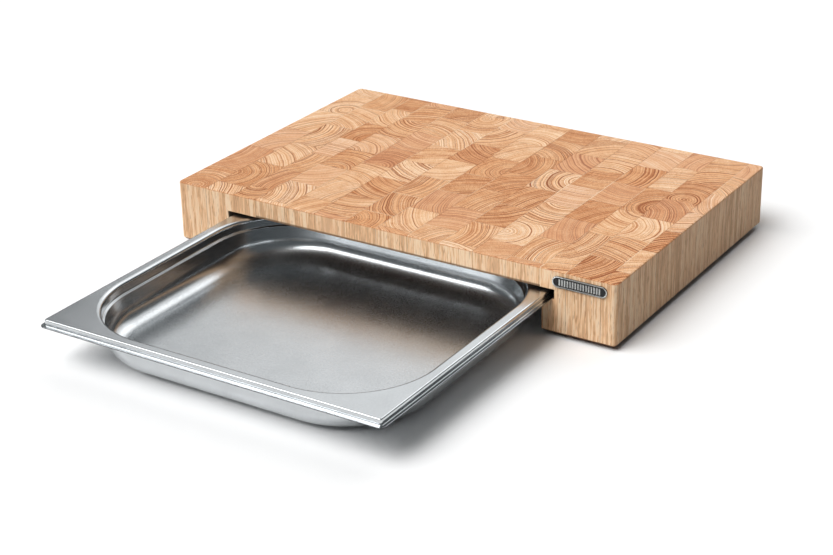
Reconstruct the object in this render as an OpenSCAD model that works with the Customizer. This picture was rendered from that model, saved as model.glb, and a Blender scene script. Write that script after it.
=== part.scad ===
// End-grain chopping block with a steel tray that slides in grooves under it.
// Millimetres. +X is right along the front, +Y is back, +Z is up. The origin is on the
// ground, under the middle of the block and its pulled-out tray together.

/* [Block] */
// Width of the block, left to right
board_w = 480; // [440:1:560]
// Depth of the block, front to back
board_d = 320; // [290:1:400]
// Thickness of the wood
board_t = 61; // [54:0.5:80]
// Rounding of the four upright corners
corner_r = 4.5; // [3:0.5:12]
// Rounding of the top edge
top_round = 1.6; // [0.8:0.1:2.5]
// Chamfer of the bottom edge
bottom_chamfer = 2.4; // [0.8:0.1:2.8]

/* [Staves] */
// Width of the narrow row at each side of the channel
narrow_w = 25.5; // [18:0.5:30]
// Width of the trimmed row at the right edge
edge_w = 15; // [8:0.5:24]
// How far the left narrow row lies over the left leg
left_lap = 4; // [1:0.5:8]
// How far the right narrow row lies over the right leg
right_lap = 23.5; // [14:0.5:25]
// Length of an ordinary stave
stave_l = 50.3; // [36:0.1:80]
// Length of a stave in the long rows
long_stave_l = 61.5; // [36:0.1:90]
// Thickness of a glue line
glue_gap = 0.1; // [0.05:0.01:0.3]

/* [Tray] */
// Width over the lip
tray_w = 354; // [320:1:380]
// Depth over the lip
tray_d = 325; // [290:1:340]
// Height from the underside to the top of the flange
tray_h = 40; // [34:1:46]
// Thickness of the steel sheet
sheet = 0.8; // [0.6:0.05:1.2]
// Width of the lip that stands out all round
lip_w = 3.5; // [2:0.1:5]
// Drop from the top of the flange to the top of the lip
rim_drop = 5.8; // [4:0.1:7]
// Outer radius of the bend between the flange and its drop
bend_r = 1.5; // [1.3:0.1:2.5]
// Radius of the flat flange's corners, inside that bend
flat_corner_r = 0.7; // [0.3:0.1:3]
// Width of the flat flange at the middle of a side
flat_w = 7.3; // [5:0.1:12]
// Radius of the roll from the flange into the bowl
mouth_r = 3.7; // [2:0.1:5]
// Radius of the bowl's corners at the mouth, seen from above
mouth_corner_r = 85; // [60:1:100]
// Depth of the straight wall above the stacking step
step_down = 10; // [7:0.5:11]
// Height of the stacking step
step_h = 2; // [1:0.1:2.2]
// How far the stacking step moves the wall inwards
step_in = 2; // [1:0.1:3]
// Radius between the wall and the floor
floor_r = 15; // [12:0.5:26]

/* [Slide] */
// How far the tray stands out of the block's front
tray_out = 270; // [120:1:280]
// Free height under the tray
tray_lift = 3.8; // [1:0.1:8]
// Sliding gap between the lip and the ledge that carries it
run_gap = 0.2; // [0.1:0.05:0.4]
// Free height between the flange and the wood above it
head_gap = 2.7; // [1:0.1:4]
// Gap between the lip and the side of its groove
groove_gap = 2.3; // [0.5:0.1:4]
// Gap between the bowl and the side of the channel
channel_gap = 3.7; // [0.5:0.1:4]

/* [Name plate] */
// Length of the plate
plate_w = 53.5; // [30:0.5:56]
// Height of the plate
plate_h = 10.5; // [6:0.1:14]
// Thickness of the plate's back
plate_t = 0.9; // [0.6:0.1:2]
// Height of the raised rim and ribs over the plate's back
relief_h = 0.6; // [0.3:0.1:1.2]
// Width of the raised rim
plate_rim = 1.1; // [0.6:0.1:1.6]
// Width of one raised rib, and of the gap beside it
rib_w = 1.3; // [0.8:0.1:2]
// Clear margin between the rim and the ribs
rib_margin = 1.1; // [0.6:0.1:2]
// Distance from the block's right side to the plate
plate_side = 9; // [6:0.5:20]
// Distance from the top of the block down to the middle of the plate
plate_drop = 9.7; // [8:0.1:11]
// Radius of the two pegs behind the plate
peg_r = 1.2; // [0.8:0.1:1.6]
// Length of a peg
peg_l = 5; // [3:0.5:8]
// Distance between the two pegs
peg_pitch = 34; // [20:0.5:38]
// Gap round a peg in its hole
peg_gap = 0.1; // [0.05:0.01:0.2]

/* [Feet] */
// Radius of a foot where it meets the wood
foot_r = 10; // [8:0.5:20]
// Height of a foot
foot_h = 4; // [3.2:0.1:8]
// How much narrower a foot is on the ground
foot_taper = 1; // [0.3:0.1:2]
// Distance from the block's front or back to the middle of a foot
foot_inset = 30; // [20:1:60]
// Radius of a foot screw's shank
screw_r = 1.75; // [1.2:0.05:2.2]
// Length of a foot screw's shank below its head
screw_l = 14; // [8:0.5:20]
// Radius of a foot screw's head
head_r = 3.6; // [3:0.1:4.4]
// Height of a foot screw's head
head_h = 1.5; // [1:0.1:1.8]
// How deep the head is sunk in the foot
head_sink = 0.6; // [0.3:0.1:0.8]
// Gap round a screw's head in the foot
head_clear = 0.4; // [0.2:0.1:0.8]
// Gap round a screw's shank
shank_clear = 0.1; // [0.05:0.01:0.2]
// Free depth of a pilot hole past the screw's tip
tip_clear = 1; // [0.5:0.1:3]
// Width of the cross recess in a screw's head
recess_w = 0.8; // [0.5:0.1:1]

/* [Hidden] */
$fn = 96;
// Length by which a cut runs past the face it opens
over = 1;

// Heights over the ground
wood_z = foot_h;
top_z = wood_z + board_t;
flange_z = tray_lift + tray_h;
slot_z = flange_z + head_gap;
rim_h = rim_drop + sheet;
ledge_z = flange_z - rim_h - run_gap;

// Places along Y
back_y = (board_d + tray_out) / 2;
front_y = back_y - board_d;
tray_y = front_y - tray_out + tray_d / 2;

// Plan sizes of the tray, from the lip inwards
flat_edge = [tray_w - 2 * lip_w, tray_d - 2 * lip_w];
mouth = [flat_edge.x - 2 * flat_w, flat_edge.y - 2 * flat_w];
bowl_outside_w = mouth.x - 2 * mouth_r + 2 * sheet;
// The floor's bend takes what height the wall leaves it, if floor_r is more
floor_bend_r = min(floor_r, tray_h - sheet - step_down - step_h - sheet);

// Widths of the cuts that carry the tray, and of the legs beside them
slot_w = tray_w + 2 * groove_gap;
channel_w = bowl_outside_w + 2 * channel_gap;
leg_w = (board_w - channel_w) / 2;

// Widths of the rows over the legs, and of the rows between the two narrow ones
left_row_w = (leg_w - left_lap) / 2;
right_row_w = leg_w - right_lap - edge_w;
middle_count = 9;
middle_w = (left_lap + channel_w + right_lap - 2 * narrow_w) / middle_count;

// Where a row's first joint lies, as a part of a stave from the back. Neighbouring
// rows are laid about half a stave apart.
near = 0.2;
far = 0.735;
// Each row from the left: its width, the length of its staves and its first joint
ROWS = [
    [left_row_w, long_stave_l, 0.33],
    [left_row_w, long_stave_l, 0.86],
    [narrow_w, stave_l, 0.8],
    [middle_w, stave_l, 0.24],
    for (i = [1:middle_count - 1]) [middle_w, stave_l, i % 2 == 0 ? near : far],
    [narrow_w, long_stave_l, 0.74],
    [right_row_w, stave_l, 0.46],
    [edge_w, stave_l, 0.83],
];
row_count = len(ROWS);

// Centre of the name plate
plate_x = board_w / 2 - plate_side - plate_w / 2;
plate_z = top_z - plate_drop;

// Centres of the feet
foot_x = (channel_w + leg_w) / 2;
foot_front_y = front_y + foot_inset;
foot_back_y = back_y - foot_inset;

// Left side of row i, summed from the rows before it
function row_left(i) = i == 0 ? -board_w / 2 : row_left(i - 1) + ROWS[i - 1][0];
// Distance of joint j in row i from the back of the block; joint 0 is the back itself
function joint_at(i, j) = j == 0 ? -over : (ROWS[i][2] + j - 1) * ROWS[i][1];
function stave_count(i) = 1 + ceil(board_d / ROWS[i][1] - ROWS[i][2]);

// Sweeps a profile round a size.x by size.y rectangle with corners of radius r. The
// profile's X points outwards from that rectangle's edge, and its Y points up.
module swept_round(size, r) {
    for (side = [0:3]) {
        along = side % 2 == 0 ? size.x : size.y;
        across = side % 2 == 0 ? size.y : size.x;
        rotate([0, 0, 90 * side]) {
            translate([-along / 2 + r, -across / 2, 0])
                rotate([90, 0, 90])
                    linear_extrude(along - 2 * r)
                        mirror([1, 0]) children();
            translate([along / 2 - r, -across / 2 + r, 0])
                rotate([0, 0, -90])
                    rotate_extrude(angle = 90)
                        translate([r, 0]) children();
        }
    }
}

// A flat rectangle with round corners
module round_plate(size, r, t) {
    linear_extrude(t) {
        square([size.x - 2 * r, size.y], center = true);
        square([size.x, size.y - 2 * r], center = true);
        for (x = [-1, 1], y = [-1, 1])
            translate([x * (size.x / 2 - r), y * (size.y / 2 - r)])
                circle(r);
    }
}

// Edge of the block from the corner rounding's centre out to the side
module block_edge() {
    translate([-corner_r, 0]) {
        polygon([
            [0, 0],
            [corner_r - bottom_chamfer, 0],
            [corner_r, bottom_chamfer],
            [corner_r, board_t - top_round],
            [corner_r - top_round, board_t - top_round],
            [corner_r - top_round, board_t],
            [0, board_t],
        ]);
        intersection() {
            translate([corner_r - top_round, board_t - top_round]) circle(top_round);
            translate([corner_r - top_round, board_t - top_round]) square(top_round);
        }
    }
}

// The glued block after milling, before it is told apart into staves
module block() {
    difference() {
        translate([0, back_y - board_d / 2, wood_z]) {
            swept_round([board_w, board_d], corner_r) block_edge();
            translate([-board_w / 2 + corner_r, -board_d / 2 + corner_r, 0])
                cube([board_w - 2 * corner_r, board_d - 2 * corner_r, board_t]);
        }
        // Channel, open below, and the wider groove level over it
        translate([-channel_w / 2, front_y - over, wood_z - over])
            cube([channel_w, board_d + 2 * over, slot_z - wood_z + over]);
        translate([-slot_w / 2, front_y - over, ledge_z])
            cube([slot_w, board_d + 2 * over, slot_z - ledge_z]);
        for (x = [-1, 1])
            translate([plate_x + x * peg_pitch / 2, front_y - over, plate_z])
                rotate([-90, 0, 0])
                    cylinder(r = peg_r + peg_gap, h = over + peg_l + peg_gap);
        for (x = [-foot_x, foot_x], y = [foot_front_y, foot_back_y])
            translate([x, y, wood_z - over])
                cylinder(
                    r = screw_r + shank_clear,
                    h = over + screw_l + head_sink + head_h - foot_h + tip_clear
                );
    }
}

// Row i of the block, as separate staves a glue line apart
module stave_row(i) {
    left = row_left(i) + (i == 0 ? -over : glue_gap / 2);
    right = row_left(i) + ROWS[i][0] + (i == row_count - 1 ? over : -glue_gap / 2);
    intersection() {
        block();
        for (j = [0:stave_count(i) - 1]) {
            back = back_y - joint_at(i, j) - glue_gap / 2;
            front = max(back_y - joint_at(i, j + 1) + glue_gap / 2, front_y - over);
            translate([left, front, wood_z - over])
                cube([right - left, back - front, board_t + 2 * over]);
        }
    }
}

// Section of the flange's bend, its drop and the lip
module rim_section() {
    intersection() {
        difference() {
            translate([-bend_r, -bend_r]) circle(bend_r);
            translate([-bend_r, -bend_r]) circle(bend_r - sheet);
        }
        translate([-bend_r, -bend_r]) square(bend_r);
    }
    translate([-sheet, -rim_h]) square([sheet, rim_h - bend_r]);
    translate([-sheet, -rim_h]) square([lip_w + sheet, sheet]);
}

// Quarter ring of the sheet's thickness, inner radius r, from angle a to a + 90
module sheet_bend(r, a) {
    rotate(a) intersection() {
        difference() {
            circle(r + sheet);
            circle(r);
        }
        square(r + sheet);
    }
}

// Section of the bowl from its mouth down to its floor
module bowl_section() {
    wall_x = -mouth_r;
    low_wall_x = wall_x - step_in;
    bend_z = -tray_h + sheet + floor_bend_r;
    translate([0, -mouth_r]) sheet_bend(mouth_r - sheet, 90);
    translate([wall_x, -step_down]) square([sheet, step_down - mouth_r]);
    polygon([
        [wall_x, -step_down],
        [wall_x + sheet, -step_down],
        [low_wall_x + sheet, -step_down - step_h],
        [low_wall_x, -step_down - step_h],
    ]);
    translate([low_wall_x, bend_z])
        square([sheet, -step_down - step_h - bend_z]);
    translate([low_wall_x - floor_bend_r, bend_z])
        sheet_bend(floor_bend_r, -90);
}

module tray() {
    bowl_in = mouth_r + step_in + floor_bend_r;
    color([0.78, 0.79, 0.80])
        translate([0, tray_y, flange_z]) {
            difference() {
                translate([0, 0, -sheet])
                    round_plate(
                        [flat_edge.x - 2 * bend_r, flat_edge.y - 2 * bend_r],
                        flat_corner_r,
                        sheet
                    );
                translate([0, 0, -sheet - over])
                    round_plate(mouth, mouth_corner_r, sheet + 2 * over);
            }
            swept_round(flat_edge, flat_corner_r + bend_r) rim_section();
            swept_round(mouth, mouth_corner_r) bowl_section();
            translate([0, 0, -tray_h])
                round_plate(
                    [mouth.x - 2 * bowl_in, mouth.y - 2 * bowl_in],
                    mouth_corner_r - bowl_in,
                    sheet
                );
        }
}

// Outline of the name plate, drawn in by inset
module plate_outline(inset = 0) {
    straight = plate_w - plate_h;
    r = plate_h / 2 - inset;
    square([straight, 2 * r], center = true);
    for (x = [-1, 1])
        translate([x * straight / 2, 0]) circle(r);
}

module name_plate() {
    straight = plate_w - plate_h;
    rib_h = plate_h - 2 * (plate_rim + rib_margin);
    rib_count = floor(straight / (2 * rib_w));
    color([0.70, 0.70, 0.68])
        translate([plate_x, front_y, plate_z])
            rotate([90, 0, 0]) {
                linear_extrude(plate_t) plate_outline();
                translate([0, 0, plate_t])
                    linear_extrude(relief_h)
                        difference() {
                            plate_outline();
                            plate_outline(plate_rim);
                        }
                for (i = [0:rib_count - 1])
                    translate([(i - (rib_count - 1) / 2) * 2 * rib_w, 0, plate_t + relief_h / 2])
                        cube([rib_w, rib_h, relief_h], center = true);
                for (x = [-1, 1])
                    translate([x * peg_pitch / 2, 0, -peg_l])
                        cylinder(r = peg_r, h = peg_l);
            }
}

module foot(x, y) {
    color([0.10, 0.10, 0.11])
        translate([x, y, 0])
            rotate_extrude()
                polygon([
                    [head_r + head_clear, 0],
                    [foot_r - foot_taper, 0],
                    [foot_r, foot_h],
                    [screw_r + shank_clear, foot_h],
                    [screw_r + shank_clear, head_sink + head_h],
                    [head_r + head_clear, head_sink + head_h],
                ]);
}

module foot_screws() {
    color([0.62, 0.63, 0.65])
        for (x = [-foot_x, foot_x], y = [foot_front_y, foot_back_y])
            translate([x, y, head_sink])
                difference() {
                    union() {
                        cylinder(r = head_r, h = head_h);
                        cylinder(r = screw_r, h = head_h + screw_l);
                    }
                    for (turn = [0, 90])
                        rotate([0, 0, turn])
                            translate([0, 0, head_h / 4])
                                cube([head_r, recess_w, head_h / 2 + over / 2], center = true);
                }
}

// Wood tones of neighbouring rows, which differ a little
module wood(i) {
    color([0.84 - 0.03 * (i % 3), 0.66 - 0.03 * (i % 3), 0.47 - 0.02 * (i % 3)]) children();
}

wood(0) stave_row(0);  // stave_row_01
wood(1) stave_row(1);  // stave_row_02
wood(2) stave_row(2);  // stave_row_03
wood(3) stave_row(3);  // stave_row_04
wood(4) stave_row(4);  // stave_row_05
wood(5) stave_row(5);  // stave_row_06
wood(6) stave_row(6);  // stave_row_07
wood(7) stave_row(7);  // stave_row_08
wood(8) stave_row(8);  // stave_row_09
wood(9) stave_row(9);  // stave_row_10
wood(10) stave_row(10);  // stave_row_11
wood(11) stave_row(11);  // stave_row_12
wood(12) stave_row(12);  // stave_row_13
wood(13) stave_row(13);  // stave_row_14
wood(14) stave_row(14);  // stave_row_15
tray();
name_plate();
foot(-foot_x, foot_front_y);  // foot_front_left
foot(foot_x, foot_front_y);  // foot_front_right
foot(-foot_x, foot_back_y);  // foot_back_left
foot(foot_x, foot_back_y);  // foot_back_right
foot_screws();
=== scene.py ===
import math
import bmesh
import bpy
from mathutils import Matrix, Vector


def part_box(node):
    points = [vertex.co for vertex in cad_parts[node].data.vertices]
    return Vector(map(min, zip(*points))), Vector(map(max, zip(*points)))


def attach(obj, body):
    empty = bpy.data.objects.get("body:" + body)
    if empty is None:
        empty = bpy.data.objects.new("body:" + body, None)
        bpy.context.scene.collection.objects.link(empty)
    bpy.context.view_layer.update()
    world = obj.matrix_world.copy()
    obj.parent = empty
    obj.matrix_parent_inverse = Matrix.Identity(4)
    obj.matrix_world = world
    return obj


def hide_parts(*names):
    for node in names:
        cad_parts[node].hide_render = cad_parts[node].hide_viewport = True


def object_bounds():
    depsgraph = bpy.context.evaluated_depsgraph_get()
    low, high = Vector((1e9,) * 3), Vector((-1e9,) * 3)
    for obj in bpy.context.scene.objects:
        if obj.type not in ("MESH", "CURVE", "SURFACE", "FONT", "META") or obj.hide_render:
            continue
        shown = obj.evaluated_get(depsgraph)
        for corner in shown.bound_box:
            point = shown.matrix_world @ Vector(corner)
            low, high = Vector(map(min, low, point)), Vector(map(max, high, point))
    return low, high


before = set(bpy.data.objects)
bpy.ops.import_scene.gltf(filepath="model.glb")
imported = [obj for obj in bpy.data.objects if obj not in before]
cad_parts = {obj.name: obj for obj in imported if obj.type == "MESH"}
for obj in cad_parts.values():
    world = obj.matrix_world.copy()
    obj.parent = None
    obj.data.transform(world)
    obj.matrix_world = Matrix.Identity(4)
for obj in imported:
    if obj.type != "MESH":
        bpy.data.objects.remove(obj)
cad_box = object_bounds()


# ---------------------------------------------------------------- the block of staves
# Fifteen rows of upright staves, glued and planed flat, so that the top is all end grain:
# the trunk's rings are arcs there and upright streaks on the four sides. Oiled, not varnished.

MM = 0.001
TOP_EDGE_WEAR = 1.8
LARGEST_GLUE_GAP = 0.3
SEED_SPREAD = 40

# Where a colour's fade starts and ends, in millimetres from the joint, from the edge at the ground or
# from the channel's mouth, and how far past the channel and the tray the painted shade of the channel
# reaches. Both the ground edge and the channel get painted shade.
GLUE_LINE = (0.10, 0.50)
GROUND_SHADE_EDGE = (1.0, 2.6)
CHANNEL_SHADE_MOUTH = (0.3, 2.0)
CHANNEL_SHADE_FADE = 0.3
CEILING_REACH = 0.1
GROOVE_REACH = 3.0

# How a stave lies in the trunk, in millimetres: how far off the pith is, how wide a year's ring
# is, how uneven the rings are, and how far the stave leans for each millimetre of its height.
PITH_REACH = (12.0, 80.0)
RING_WIDTH = (2.3, 4.4)
RING_BEND = 8
RING_BEND_SIZE = 34
RING_WOBBLE = 1.0
LEAN = 0.05

# How steeply a face stands where it stops being end grain: the height of its normal.
SIDE_GRAIN = (0.35, 0.80)

# From the latest, densest wood of a year to its palest early wood.
WOOD_TONES = [
    (0.00, (150, 82, 40)),
    (0.22, (196, 125, 76)),
    (0.46, (225, 168, 119)),
    (0.70, (243, 202, 160)),
    (1.00, (253, 232, 206)),
]
ROSY_WOOD = (216, 158, 124)
SIDE_CREAM = (255, 214, 170)
PORE_BROWN = (150, 88, 46)
GLUE_CREAM = (255, 236, 204)
OILED_ARRIS = (176, 104, 54)
# Painted shade at the block's foot, where the shadow under the block falls.
GROUND_SHADE_BROWN = (72, 50, 36)
# Painted shade inside the channel under the block.
CHANNEL_SHADE_GREY = (62, 57, 53)


def linear(colour):
    """A colour as seen on a screen, in steps of 255, as the shaders want it."""
    return (*(((part / 255 + 0.055) / 1.055) ** 2.4 for part in colour), 1.0)


class Wire:
    """One output of a shader node. Sums with it add their own Math nodes."""

    def __init__(self, tree, socket=None):
        self.tree = tree
        self.socket = socket

    def node(self, kind, settings=(), sockets=(), output=0):
        """Adds a node: its settings first, then each socket's value or link."""
        new = self.tree.nodes.new("ShaderNode" + kind)
        for name, value in dict(settings).items():
            if name == "stops":
                for _ in range(len(value) - 2):
                    new.color_ramp.elements.new(0.5)
                for stop, (place, colour) in zip(new.color_ramp.elements, value):
                    stop.position = place
                    stop.color = colour
            else:
                setattr(new, name, value)
        for name, value in dict(sockets).items():
            if isinstance(value, Wire):
                self.tree.links.new(value.socket, new.inputs[name])
            else:
                new.inputs[name].default_value = value
        return Wire(self.tree, new.outputs[output])

    def maths(self, operation, *others):
        """A Math node on this value, and on the others that the operation takes."""
        return self.node("Math", {"operation": operation}, enumerate((self, *others)))

    def __add__(self, other):
        return self.maths("ADD", other)

    def __sub__(self, other):
        return self.maths("SUBTRACT", other)

    def __rsub__(self, other):
        return self.maths("MULTIPLY_ADD", -1, other)

    def __mul__(self, other):
        return self.maths("MULTIPLY", other)

    def __truediv__(self, other):
        return self.maths("DIVIDE", other)

    def __pow__(self, other):
        return self.maths("POWER", other)

    def __abs__(self):
        return self.maths("ABSOLUTE")

    __radd__ = __add__
    __rmul__ = __mul__

    def floor(self):
        return self.maths("FLOOR")

    def fraction(self):
        return self.maths("FRACT")

    def fade(self, start, end):
        """0 up to start, 1 from end on, and a smooth slope between the two."""
        sockets = {"Value": self, "From Min": start, "From Max": end}
        return self.node("MapRange", {"interpolation_type": "SMOOTHSTEP"}, sockets)

    def between(self, low, high):
        """Takes a value from 0 to 1 to one from low to high."""
        return self * (high - low) + low

    def mix(self, none, full):
        """A colour: none where this value is 0, and full where it is 1."""
        sockets = {0: self, 6: none, 7: full}
        return self.node("Mix", {"data_type": "RGBA"}, sockets, 2)

    def vector(self, x, y, z):
        return self.node("CombineXYZ", {}, {0: x, 1: y, 2: z})

    def parts(self):
        split = self.node("SeparateXYZ", {}, {0: self})
        node = split.socket.node
        return [Wire(self.tree, socket) for socket in node.outputs]

    def noise(self, size, detail=2.0, rough=0.5, seed=None):
        """Soft noise at this point, with grains of about that size in the point's own unit."""
        sockets = {"Vector": self, "Scale": 1 / size, "Detail": detail, "Roughness": rough}
        if seed is None:
            return self.node("TexNoise", {}, sockets)
        sockets["W"] = seed
        return self.node("TexNoise", {"noise_dimensions": "4D"}, sockets)

    def chance(self, output=0):
        """A random number, or with output 1 three of them, for each whole-number point."""
        return self.node("TexWhiteNoise", {"noise_dimensions": "3D"}, {"Vector": self}, output)


def new_material(name):
    """An empty finish: the material, its shader, and its surface point in millimetres."""
    material = bpy.data.materials.new(name)
    material.use_nodes = True
    start = Wire(material.node_tree)
    place = start.node("TexCoord", {}, {}, "Object")
    point = start.node("VectorMath", {"operation": "SCALE"}, {0: place, "Scale": 1 / MM})
    return material, material.node_tree.nodes["Principled BSDF"], point


def finish_with(shader, bump=None, depth=0.1, **values):
    """Sets the shader's sockets, with spaces for the underscores of their names."""
    tree = shader.id_data
    for name, value in values.items():
        socket = shader.inputs[name.replace("_", " ")]
        if isinstance(value, Wire):
            tree.links.new(value.socket, socket)
        else:
            socket.default_value = value
    if bump is not None:
        sockets = {"Height": bump, "Distance": depth * MM, "Strength": 1.0}
        normal = bump.node("Bump", {}, sockets)
        tree.links.new(normal.socket, shader.inputs["Normal"])


def stave_joints(node):
    """The glue joints across a row, from the back: pairs of top corners a hair apart."""
    low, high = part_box(node)
    margin = 5 * MM
    corners = sorted({
        round(corner.co.y, 6)
        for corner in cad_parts[node].data.vertices
        if corner.co.z > high.z - 0.01 * MM and low.y + margin < corner.co.y < high.y - margin
    })
    gaps = [pair for pair in zip(corners, corners[1:]) if pair[1] - pair[0] < LARGEST_GLUE_GAP * MM]
    return sorted((sum(pair) / 2 / MM for pair in gaps), reverse=True)


block_left, block_right = cad_box[0].x / MM, cad_box[1].x / MM
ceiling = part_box("stave_row_08")[0].z / MM + CEILING_REACH
groove_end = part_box("tray")[1].x / MM + GROOVE_REACH


def end_grain(number, node):
    """Oiled end grain for one row: rings round a pith of its own in each stave."""
    low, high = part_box(node)
    left, right = low.x / MM, high.x / MM
    front = low.y / MM
    joints = stave_joints(node)
    length = joints[0] - joints[1]

    material, shader, point = new_material("end_grain_%02d" % number)
    x, y, z = point.parts()
    along = (joints[0] - y) / length
    stave = point.vector(along.floor(), float(number), 0.0)
    u = x - (left + right) / 2
    v = (along.fraction() - 0.5) * length

    def chances(draw):
        """Three random numbers that are the same all over one stave."""
        return stave.node(
            "VectorMath", {"operation": "ADD"}, {0: stave, 1: (0.0, 0.0, float(draw))}
        ).chance(1).parts()

    turn, reach, spread = chances(1)
    tone, contrast, seed = chances(2)
    lean_u, lean_v, glue = chances(3)
    blush = chances(4)[0]

    # The stave leans a little in the trunk, and the trunk isn't round.
    seed = seed * SEED_SPREAD
    wave = point.vector(u, v, z * 0.22)
    bent = {"Vector": wave, "W": seed, "Scale": 1 / RING_BEND_SIZE, "Detail": 1.5, "Roughness": 0.4}
    bends = wave.node("TexNoise", {"noise_dimensions": "4D"}, bent, "Color")
    bend_u, bend_v = bends.parts()[:2]
    far = (reach ** 0.8).between(*PITH_REACH)
    angle = turn * math.tau
    pith_u = far * angle.maths("COSINE") - (bend_u - 0.5) * RING_BEND - z * lean_u.between(-LEAN, LEAN)
    pith_v = far * angle.maths("SINE") - (bend_v - 0.5) * RING_BEND - z * lean_v.between(-LEAN, LEAN)
    across, down = u - pith_u, v - pith_v
    wobble = wave.noise(9.0, 2.0, 0.5, seed) - 0.5
    radius = (across * across + down * down) ** 0.5 + wobble * RING_WOBBLE

    # A year's ring: pale early wood, slowly darker, and a thin dark line where the year ends.
    even = radius / spread.between(*RING_WIDTH)
    drift = even * 0.40 + seed
    uneven = drift.node("TexNoise", {"noise_dimensions": "1D"}, {"W": drift, "Detail": 1.0})
    years = even + (uneven - 0.5) * 2.4
    ring = years.fraction()
    year = point.vector(years.floor(), seed.floor(), float(number)).chance()
    late_line = ring.fade(0.60, 0.84) * (1 - ring.fade(0.92, 1.0)) * year.between(0.40, 1.0)
    early = 1 - ring.fade(0.0, 0.45)
    inner = (years * 2.9 + year * 0.5).fraction()
    inner_line = inner.fade(0.40, 0.80) * (1 - inner.fade(0.85, 1.0))
    bearing = across.maths("ARCTAN2", down)
    rays = point.vector(bearing * far * 1.6, radius * 0.12, seed).noise(0.9, 1.0, 0.5)

    normal = point.node("TexCoord", {}, {}, "Normal").parts()[2]
    side = 1 - abs(normal).fade(*SIDE_GRAIN)
    strength = contrast.between(0.60, 1.10) * (1 - side * 0.55)
    blotch = wave.noise(17.0, 2.0, 0.55, seed)
    slant = z * 0.05 + wobble * 0.4
    fibres = point.vector(x, y, slant).noise(1.7, 2.0, 0.75)
    streaks = point.vector(x, y, z * 0.11 + wobble).noise(1.1, 1.0, 0.6)
    bands = point.vector(x, y, slant).noise(6.5, 1.0, 0.5)
    specks = point.vector(x, y, z * 0.12).noise(0.8, 1.0, 0.6)
    pores = specks.fade(0.60, 0.72) * (1 - side) + streaks.fade(0.58, 0.72) * side

    shade = tone.between(0.36, 0.72) + (blotch - 0.5) * 0.40 + (uneven - 0.5) * 0.30
    shade = shade + (early * 0.22 - late_line * 0.84 - inner_line * 0.18) * strength
    shade = shade - (rays - 0.5) * 0.35 + (specks - 0.5) * 0.70
    shade = shade + ((fibres - 0.5) * 4.8 + (bands - 0.5) * 3.2) * side
    tones = [(place, linear(colour)) for place, colour in WOOD_TONES]
    wood = shade.node("ValToRGB", {"stops": tones}, {"Fac": shade})
    wood = (blush.fade(0.60, 1.0) * 0.30).mix(wood, linear(ROSY_WOOD))
    wood = (side * 0.60).mix(wood, linear(SIDE_CREAM))
    wood = (pores * side.between(0.22, 0.46)).mix(wood, linear(PORE_BROWN))

    # Glue lines, brown at most joints and pale at a few, and none on the block's own sides.
    inward = (left < block_left + 1) - (right > block_right - 1)
    beside = (right - left) / 2 - (u * inward if inward else abs(u))
    to_joint = beside.maths("MINIMUM", length / 2 - abs(v))
    line = (1 - to_joint.fade(*GLUE_LINE)) * glue.between(0.25, 0.85)
    wood = line.mix(wood, glue.fade(0.74, 0.76).mix(linear(PORE_BROWN), linear(GLUE_CREAM)))
    # The channel and its grooves under the block are painted dark grey: painted shade in the recess.
    mouth_start, mouth_end = (front + inside for inside in CHANNEL_SHADE_MOUTH)
    channel_shade = (1 - z.fade(ceiling, ceiling + CHANNEL_SHADE_FADE)) * y.fade(mouth_start, mouth_end)
    channel_shade = channel_shade * (1 - abs(x).fade(groove_end, groove_end + CHANNEL_SHADE_FADE))
    wood = (channel_shade * 0.9).mix(wood, linear(CHANNEL_SHADE_GREY))
    # Painted shade: the chamfer at the ground is darkened where the shadow under the block falls.
    ground_shade = 1 - z.fade(*(low.z / MM + up for up in GROUND_SHADE_EDGE))
    wood = (ground_shade * 0.75).mix(wood, linear(GROUND_SHADE_BROWN))
    # Oil gathers and darkens at the top arrises.
    top = high.z / MM
    arris = z.fade(top - TOP_EDGE_WEAR, top - 0.3 * TOP_EDGE_WEAR) * side.fade(0.0, 0.6)
    wood = (arris * blotch.fade(0.30, 0.60).between(0.30, 0.75)).mix(wood, linear(OILED_ARRIS))

    finish_with(
        shader,
        bump=late_line * 0.4 - pores * 0.7 - line + fibres * side * 0.6,
        depth=0.08,
        Base_Color=wood,
        Roughness=0.50 + specks * 0.12 - late_line * 0.06,
        IOR=1.46,
        Specular_IOR_Level=0.18,
    )
    return material


for number, node in enumerate(sorted(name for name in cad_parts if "stave_row" in name), 1):
    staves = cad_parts[node]
    staves.material_slots[0].link = "OBJECT"
    staves.material_slots[0].material = end_grain(number, node)


# ---------------------------------------------------------------- feet and screws
# Four low rubber feet under the corners of the block, each held by a countersunk plated screw
# that stays clear of the table.

RUBBER = (38, 38, 40)
RUBBER_DUST = (74, 72, 69)
SCREW_STEEL = [(176, 178, 182), (150, 151, 154)]

rubber, shader, point = new_material("foot_rubber")
moulding = point.noise(0.8, 3.0, 0.6)
dust = point.noise(7.0, 3.0, 0.6).fade(0.45, 0.75)
finish_with(
    shader,
    bump=moulding,
    depth=0.05,
    Base_Color=(dust * 0.5).mix(linear(RUBBER), linear(RUBBER_DUST)),
    Roughness=0.62 + moulding * 0.2,
)

plating, shader, point = new_material("screw_plating")
turning = point.noise(0.5, 2.0, 0.6)
finish_with(
    shader,
    bump=turning,
    depth=0.01,
    Base_Color=turning.mix(linear(SCREW_STEEL[0]), linear(SCREW_STEEL[1])),
    Metallic=1.0,
    Roughness=0.28 + turning * 0.15,
)

for name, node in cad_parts.items():
    if name.startswith("foot_"):
        node.material_slots[0].link = "OBJECT"
        node.material_slots[0].material = plating if name == "foot_screws" else rubber


# ---------------------------------------------------------------- the name plate
# A small cast plate with round ends, pinned to the front of the block. Its dark recess holds
# upright ribs inside a raised rim, and the rim and the crests of the ribs are polished.

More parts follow.
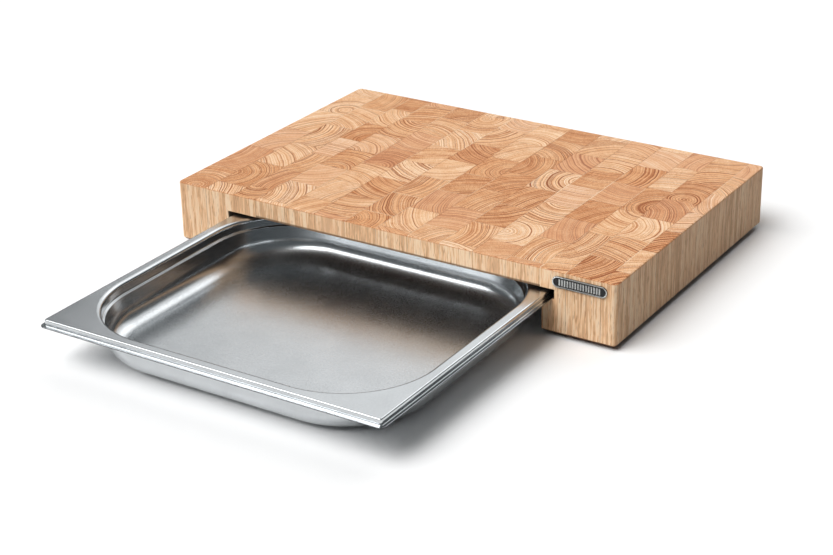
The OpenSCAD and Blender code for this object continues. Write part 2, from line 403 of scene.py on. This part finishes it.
PLATE_RIM = 1.1
PLATE_RELIEF = 0.6
RIB_WIDTH = 1.6
RIB_PITCH = 2.6
RIB_MARGIN = 1.1
PLATE_BEVEL = 0.4
ROUND_STEPS = 14
POLISHED = (236, 236, 233)
RECESS = (48, 48, 50)


def bevel_edges(bm, edges, width, segments=2):
    bmesh.ops.bevel(
        bm, geom=edges, offset=width, segments=segments, profile=0.5, affect="EDGES",
        offset_type="OFFSET", clamp_overlap=True, material=-1,
    )


def sharp_edges(bm, degrees=50):
    limit = math.radians(degrees)
    return [e for e in bm.edges if len(e.link_faces) == 2 and e.calc_face_angle() > limit]


def link_piece(name, bm, material, body, replaced=()):
    """Makes an object of a finished bmesh, gives it its finish and sets it on its body."""
    mesh = bpy.data.meshes.new(name)
    bm.to_mesh(mesh)
    bm.free()
    mesh.materials.append(material)
    piece = bpy.data.objects.new(name, mesh)
    bpy.context.scene.collection.objects.link(piece)
    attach(piece, body)
    if replaced:
        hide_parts(*replaced)
    return piece


plate_low, plate_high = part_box("name_plate")
plate_length = (plate_high.x - plate_low.x) / MM
plate_height = (plate_high.z - plate_low.z) / MM
block_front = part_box("stave_row_10")[0].y
plate_depth = (block_front - plate_low.y) / MM
plate_back = plate_depth - PLATE_RELIEF
plate_straight = plate_length - plate_height

# The plate is modelled lying on its back, and then stood up on the block's front.
bm = bmesh.new()
bmesh.ops.create_circle(bm, cap_ends=True, segments=4 * ROUND_STEPS, radius=plate_height / 2)
right_end = [v for v in bm.verts if v.co.x > 1e-4]
left_end = [v for v in bm.verts if v.co.x < -1e-4]
bmesh.ops.translate(bm, verts=right_end, vec=(plate_straight / 2, 0, 0))
bmesh.ops.translate(bm, verts=left_end, vec=(-plate_straight / 2, 0, 0))
outline = bm.faces[:]
lifted = bmesh.ops.extrude_face_region(bm, geom=outline)["geom"]
face = next(part for part in lifted if isinstance(part, bmesh.types.BMFace))
bmesh.ops.translate(bm, verts=face.verts, vec=(0, 0, plate_depth))
bmesh.ops.inset_region(bm, faces=[face], thickness=PLATE_RIM, depth=0)
sunk = bmesh.ops.extrude_face_region(bm, geom=[face])["geom"]
field = next(part for part in sunk if isinstance(part, bmesh.types.BMFace))
bmesh.ops.translate(bm, verts=field.verts, vec=(0, 0, -PLATE_RELIEF))
bmesh.ops.delete(bm, geom=[face], context="FACES")
bmesh.ops.recalc_face_normals(bm, faces=bm.faces)
front_edges = [e for e in sharp_edges(bm) if min(v.co.z for v in e.verts) > 1e-4]
bevel_edges(bm, front_edges, PLATE_BEVEL)

rib_length = plate_height - 2 * (PLATE_RIM + RIB_MARGIN)
rib_count = int(plate_straight / RIB_PITCH)
for number in range(rib_count):
    place = (number - (rib_count - 1) / 2) * RIB_PITCH
    rib = bmesh.ops.create_cube(bm, size=1)["verts"]
    bmesh.ops.scale(bm, verts=rib, vec=(RIB_WIDTH, rib_length, PLATE_RELIEF))
    bmesh.ops.translate(bm, verts=rib, vec=(place, 0, plate_back + PLATE_RELIEF / 2))
    crest = [v for v in rib if v.co.z > plate_back + PLATE_RELIEF / 2]
    top_edges = [e for e in bm.edges if all(v in crest for v in e.verts)]
    bevel_edges(bm, top_edges, PLATE_BEVEL)

bmesh.ops.rotate(bm, verts=bm.verts, matrix=Matrix.Rotation(math.radians(90), 3, "X"))
bmesh.ops.scale(bm, verts=bm.verts, vec=(MM, MM, MM))
plate_middle = (plate_low + plate_high) / 2
bmesh.ops.translate(bm, verts=bm.verts, vec=(plate_middle.x, block_front, plate_middle.z))

polish, shader, point = new_material("plate_polish")
y = point.parts()[1]
raised = 1 - y.fade(
    block_front / MM - plate_depth + 0.15, block_front / MM - plate_back - 0.05
)
pits = point.noise(0.35, 2.0, 0.6)
handling = point.noise(4.0, 3.0, 0.6)
finish_with(
    shader,
    bump=pits,
    depth=0.02,
    Base_Color=raised.mix(linear(RECESS), linear(POLISHED)),
    Metallic=0.35 + raised * 0.65,
    Roughness=0.62 - raised * 0.40 + handling * 0.12,
)
link_piece("plain_plate", bm, polish, "board", ["name_plate"])


# ---------------------------------------------------------------- the tray
# A shallow food tray, drawn from one sheet of stainless steel: a bowl with a step below its
# mouth, a flat flange round it, and a rim bent down and out again, which rides in the grooves.

SHEET = 0.8
LIP_WIDTH = 3.5
LIP_BEND = 0.7
RIM_DROP = 5.8
RIM_BEND = 1.5
FLAT_CORNER = 0.7
FLANGE_WIDTH = 7.3
MOUTH_BEND = 3.7
MOUTH_CORNER = 85.0
STEP_DEPTH = 10.0
STEP_BEND = 0.6
STEP_LEDGE = 1.2
FLOOR_BEND = 17.0
CREASE = 0.4
SATIN_STEEL = [(190, 193, 195), (214, 217, 219)]
# Painted shade: the sheet's cut edge is dark for the shade under the rim's lip.
CUT_EDGE_SHADE = [(52, 53, 55), (90, 92, 94)]


class Section:
    """The section of a sheet, drawn as a path of straight runs and bends, in millimetres."""

    def __init__(self, out, heading):
        self.points = [Vector((out, 0.0))]
        self.heading = math.radians(heading)

    def run(self, length):
        step = Vector((math.cos(self.heading), math.sin(self.heading))) * length
        self.points.append(self.points[-1] + step)

    def straight(self, length):
        """A run with a short piece at each end, which keeps the bends' shading off it."""
        self.run(CREASE)
        self.run(length - 2 * CREASE)
        self.run(CREASE)

    def bend(self, radius, degrees, steps):
        turn = math.radians(degrees) / steps
        chord = 2 * radius * math.sin(abs(turn) / 2)
        for _ in range(steps):
            self.heading += turn / 2
            self.run(chord)
            self.heading += turn / 2


def sweep_round(bm, section, corner, steps):
    """Spins a section round one corner's axis and runs it on to both middles of the tray."""
    axis_x, axis_y = corner
    verts = [bm.verts.new((axis_x + out, axis_y, up)) for out, up in section.points]
    edges = [bm.edges.new(pair) for pair in zip(verts, verts[1:])]
    spun = bmesh.ops.spin(
        bm, geom=verts + edges, cent=(axis_x, axis_y, 0), axis=(0, 0, 1),
        angle=math.radians(90), steps=steps, use_merge=False, use_duplicate=False,
    )
    last = [part for part in spun["geom_last"] if isinstance(part, bmesh.types.BMEdge)]
    for chain, run in ((edges, (0, -axis_y, 0)), (last, (-axis_x, 0, 0))):
        drawn = bmesh.ops.extrude_edge_only(bm, edges=chain)["geom"]
        moved = [part for part in drawn if isinstance(part, bmesh.types.BMVert)]
        bmesh.ops.translate(bm, verts=moved, vec=run)


def open_edges(bm, height):
    """The open edges round the flat part at one height of the quarter tray, and the ends of
    those edges on each of its two middle lines."""
    level = [v for v in bm.verts if abs(v.co.z - height) < 1e-3]
    middles = [[v for v in level if abs(v.co[side]) < 1e-3] for side in (0, 1)]
    rim = [
        edge for edge in bm.edges
        if edge.is_boundary and all(v in level for v in edge.verts)
        and not any(all(v in middle for v in edge.verts) for middle in middles)
    ]
    open_ends = [
        [v for v in middle if any(edge in rim for edge in v.link_edges)] for middle in middles
    ]
    return rim, open_ends


tray_low, tray_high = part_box("tray")
tray_middle = (tray_low + tray_high) / 2
half_x = (tray_high.x - tray_low.x) / 2 / MM
half_y = (tray_high.y - tray_low.y) / 2 / MM
depth = (tray_high.z - tray_low.z) / MM

rim = Section(FLAT_CORNER - CREASE, 0)
rim.run(CREASE)
rim.bend(RIM_BEND, -90, steps=7)
rim.straight(RIM_DROP - RIM_BEND - LIP_BEND)
rim.bend(LIP_BEND, 90, steps=5)
rim.straight(LIP_WIDTH - LIP_BEND)
wall_corner = FLAT_CORNER + RIM_BEND
wall_x, wall_y = half_x - LIP_WIDTH, half_y - LIP_WIDTH

bowl = Section(MOUTH_CORNER + CREASE, 180)
bowl.run(CREASE)
bowl.bend(MOUTH_BEND, 90, steps=9)
bowl.straight(STEP_DEPTH - MOUTH_BEND)
bowl.bend(STEP_BEND, -90, steps=4)
bowl.run(STEP_LEDGE)
bowl.bend(STEP_BEND, 90, steps=4)
bowl.straight(depth - SHEET + bowl.points[-1].y - FLOOR_BEND)
bowl.bend(FLOOR_BEND, -90, steps=16)
bowl.run(CREASE)
mouth_x, mouth_y = wall_x - FLANGE_WIDTH, wall_y - FLANGE_WIDTH

bm = bmesh.new()
sweep_round(bm, rim, (wall_x - wall_corner, wall_y - wall_corner), steps=12)
sweep_round(bm, bowl, (mouth_x - MOUTH_CORNER, mouth_y - MOUTH_CORNER), steps=36)
# Flat sheet closes the flange between the rim and the mouth, and the floor up to the middle.
for height in (0.0, bowl.points[-1].y):
    edges, ends = open_edges(bm, height)
    for pair in ends:
        if len(pair) == 2:
            edges.append(bm.edges.new(pair))
    if height < 0:
        corner = bm.verts.new((0, 0, height))
        edges += [bm.edges.new((pair[0], corner)) for pair in ends]
    bmesh.ops.contextual_create(bm, geom=edges)
for axis in ("X", "Y"):
    bmesh.ops.mirror(bm, geom=bm.verts[:] + bm.edges[:] + bm.faces[:], axis=axis, merge_dist=1e-3)
bmesh.ops.remove_doubles(bm, verts=bm.verts, dist=1e-3)
bmesh.ops.recalc_face_normals(bm, faces=bm.faces)
flange = max(bm.faces, key=lambda face: face.calc_center_median().z)
if flange.normal.z < 0:
    bmesh.ops.reverse_faces(bm, faces=bm.faces)
bmesh.ops.scale(bm, verts=bm.verts, vec=(MM, MM, MM))
bmesh.ops.translate(bm, verts=bm.verts, vec=(tray_middle.x, tray_middle.y, tray_high.z))
for face in bm.faces:
    face.smooth = True
tray_mesh = bpy.data.meshes.new("drawn_tray")
bm.to_mesh(tray_mesh)
bm.free()
tray = bpy.data.objects.new("drawn_tray", tray_mesh)
bpy.context.scene.collection.objects.link(tray)
sheet = tray.modifiers.new("sheet", "SOLIDIFY")
sheet.thickness = SHEET * MM
sheet.offset = -1
sheet.use_even_offset = True
sheet.use_quality_normals = True

steel, shader, point = new_material("satin_steel")
z = point.parts()[2]
top = tray_high.z / MM
on_floor = 1 - z.fade(tray_low.z / MM + 3.0, tray_low.z / MM + 20.0)
on_flange = z.fade(top - 1.5, top - 0.2)
grain = point.noise(0.55, 2.0, 0.6)
satin = point.noise(1.5, 2.0, 0.7)
cloud = point.noise(38.0, 2.0, 0.5)
tone = cloud + (satin - 0.5) * 2.2 * on_floor.between(0.35, 1.0)
finish_with(
    shader,
    bump=grain + satin * on_floor,
    depth=0.008,
    Base_Color=tone.mix(linear(SATIN_STEEL[0]), linear(SATIN_STEEL[1])),
    Metallic=1.0,
    Roughness=(
        0.16 + on_floor * 0.11 + on_flange * 0.07 + (cloud - 0.5) * 0.04 + (grain - 0.5) * 0.06
    ),
)
# The cut edge's dark colour is painted shade under the lip.
shaded_cut_edge, shader, point = new_material("shaded_cut_edge")
shearing = point.noise(0.4, 2.0, 0.6)
finish_with(
    shader,
    bump=shearing,
    depth=0.02,
    Base_Color=shearing.mix(linear(CUT_EDGE_SHADE[0]), linear(CUT_EDGE_SHADE[1])),
    Metallic=0.9,
    Roughness=0.42 + shearing * 0.1,
)
tray_mesh.materials.append(steel)
tray_mesh.materials.append(shaded_cut_edge)
sheet.material_offset_rim = 1
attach(tray, "tray")
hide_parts("tray")


# ---------------------------------------------------------------- studio
# A white sweep, a big soft light behind the block with a brighter core, a key light at the
# left front and a second one at the front, and the camera where the photograph was taken from.

CAMERA_PLACE = (0.8774, -1.3262, 0.7420)
CAMERA_AZIMUTH = 32.878
CAMERA_ELEVATION = 24.829
CAMERA_ROLL = -1.176
LENS = 80.538
SENSOR = 36.0
WHITE = (1.0, 1.0, 1.0, 1.0)
COOL_WHITE = (0.86, 0.95, 1.0, 1.0)
SKY_LIGHT = 0.04
SKY_MIRRORED = 0.08
FLOOR_HALF_WIDTH = 6.0
FLOOR_BOUNCE = (0.55, 0.55, 0.55, 1.0)

scene = bpy.context.scene
lens = bpy.data.cameras.new("camera")
lens.lens = LENS
lens.sensor_width = SENSOR
camera = bpy.data.objects.new("camera", lens)
scene.collection.objects.link(camera)
camera.matrix_world = (
    Matrix.Translation(CAMERA_PLACE)
    @ Matrix.Rotation(math.radians(CAMERA_AZIMUTH), 4, "Z")
    @ Matrix.Rotation(math.radians(90 - CAMERA_ELEVATION), 4, "X")
    @ Matrix.Rotation(math.radians(CAMERA_ROLL), 4, "Z")
)
scene.camera = camera
scene.view_settings.view_transform = "Standard"


def far_softbox(name, azimuth, elevation, spread, level):
    """A round softbox so far away that it lights the whole floor alike. Its level is 1 where
    it alone would show a white card that faces it as white."""
    lamp = bpy.data.lights.new(name, "SUN")
    lamp.angle = math.radians(spread)
    lamp.energy = level * math.pi
    holder = bpy.data.objects.new(name, lamp)
    scene.collection.objects.link(holder)
    bearing, height = math.radians(azimuth), math.radians(elevation)
    towards = Vector((
        math.sin(bearing) * math.cos(height), math.cos(bearing) * math.cos(height), math.sin(height)
    ))
    holder.rotation_euler = towards.to_track_quat("Z", "Y").to_euler()


far_softbox("back_light", azimuth=-9, elevation=41, spread=64, level=0.275)
far_softbox("back_core", azimuth=-2, elevation=38, spread=26, level=0.05)
far_softbox("key_light", azimuth=-141, elevation=52, spread=50, level=0.74)
far_softbox("front_light", azimuth=-172, elevation=54, spread=32, level=0.32)

world = bpy.data.worlds.new("studio")
world.use_nodes = True
scene.world = world
sky = Wire(world.node_tree)
camera_ray = sky.node("LightPath", {}, {}, "Is Camera Ray")
seen = camera_ray.maths("MAXIMUM", sky.node("LightPath", {}, {}, "Is Transmission Ray"))
mirrored = sky.node("LightPath", {}, {}, "Is Glossy Ray")
strength = SKY_LIGHT + mirrored * SKY_MIRRORED + seen * (1 - SKY_LIGHT)
background = world.node_tree.nodes["Background"]
world.node_tree.links.new(seen.mix(COOL_WHITE, WHITE).socket, background.inputs["Color"])
world.node_tree.links.new(strength.socket, background.inputs["Strength"])

floor_mesh = bpy.data.meshes.new("floor")
bm = bmesh.new()
bmesh.ops.create_grid(bm, x_segments=1, y_segments=1, size=FLOOR_HALF_WIDTH)
bm.to_mesh(floor_mesh)
bm.free()
floor = bpy.data.objects.new("floor", floor_mesh)
scene.collection.objects.link(floor)
# The sweep shows white, also in the steel, but throws less light back on the block's sides.
white, floor_shader, point = new_material("white_sweep")
shown = point.node("LightPath", {}, {}, "Is Camera Ray")
for ray in ("Is Glossy Ray", "Is Transmission Ray"):
    shown = shown.maths("MAXIMUM", point.node("LightPath", {}, {}, ray))
finish_with(
    floor_shader,
    Base_Color=shown.mix(FLOOR_BOUNCE, WHITE),
    Roughness=0.9,
    Specular_IOR_Level=0.0,
)
floor_mesh.materials.append(white)
